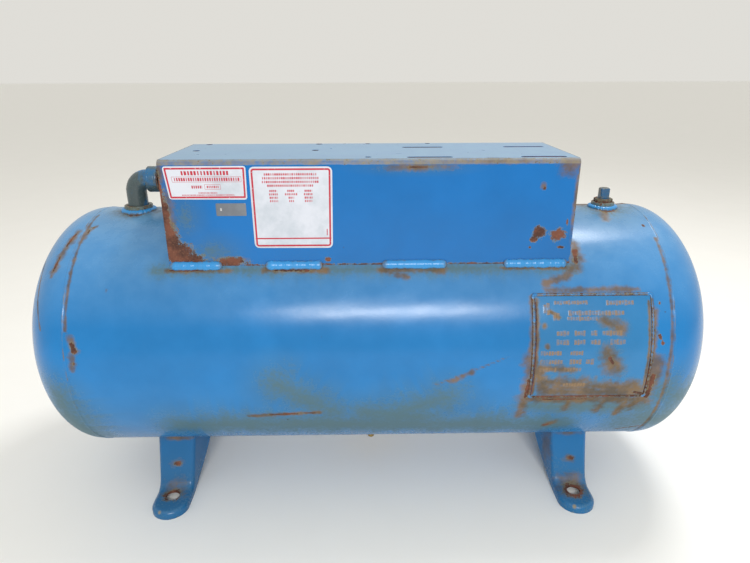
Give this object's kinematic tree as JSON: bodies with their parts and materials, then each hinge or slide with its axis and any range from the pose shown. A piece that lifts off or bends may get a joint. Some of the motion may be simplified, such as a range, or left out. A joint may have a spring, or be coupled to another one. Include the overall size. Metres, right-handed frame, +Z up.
{
  "type": "horizontal air receiver tank",
  "caption": "Horizontal steel air compressor tank on stamped feet, with a motor and pump base on top, threaded ports and a drain cock.",
  "frame": {"origin": "on the floor under the middle of the tank", "axes": "+X along the tank towards the plugged port, -Y the side with the labels, +Z up"},
  "size_m": [1.1056, 0.4104, 0.5744],
  "materials": {
    "tank_paint": "gloss",
    "base_paint": "gloss",
    "foot_paint": "gloss",
    "weld_paint": "satin",
    "boss_paint": "satin",
    "fitting_paint": "satin",
    "plate_paint": "satin",
    "label_film": "gloss",
    "sticker_foil": "satin",
    "cock_brass": "satin",
    "cock_steel": "satin"
  },
  "bodies": {
    "tank": {"tank_shell": "tank_paint", "head_left": "tank_paint", "head_right": "tank_paint", "motor_base": "base_paint", "seam_weld_left": "weld_paint", "seam_weld_right": "weld_paint", "long_seam_weld": "weld_paint", "data_plate_weld": "weld_paint", "port_weld_left": "weld_paint", "port_weld_right": "weld_paint", "drain_boss_weld": "weld_paint", "base_weld_front_1": "weld_paint", "base_weld_front_2": "weld_paint", "base_weld_front_3": "weld_paint", "base_weld_front_4": "weld_paint", "base_weld_rear_1": "weld_paint", "base_weld_rear_2": "weld_paint", "base_weld_rear_3": "weld_paint", "base_weld_rear_4": "weld_paint", "foot_weld_front_left_low_x": "weld_paint", "foot_weld_front_left_high_x": "weld_paint", "foot_weld_front_right_low_x": "weld_paint", "foot_weld_front_right_high_x": "weld_paint", "foot_weld_rear_left_low_x": "weld_paint", "foot_weld_rear_left_high_x": "weld_paint", "foot_weld_rear_right_low_x": "weld_paint", "foot_weld_rear_right_high_x": "weld_paint", "foot_front_left": "foot_paint", "foot_front_right": "foot_paint", "foot_rear_left": "foot_paint", "foot_rear_right": "foot_paint", "port_boss_left": "boss_paint", "port_boss_right": "boss_paint", "drain_boss": "boss_paint", "elbow_fitting": "fitting_paint", "reducing_bushing": "fitting_paint", "pipe_plug": "fitting_paint", "data_plate": "plate_paint", "model_label": "label_film", "caution_label": "label_film", "ratings_sticker": "sticker_foil", "drain_cock_body": "cock_brass"},
    "drain_key": {"drain_cock_key": "cock_brass", "drain_cock_washer": "cock_steel", "drain_cock_nut": "cock_steel"}
  },
  "joints": [
    {"name": "drain_key_turn", "type": "hinge", "parent": "tank", "child": "drain_key", "pos_m": [0, 0, 0.0388], "axis": [0, 1, 0], "range_deg": [0, 90]}
  ]
}
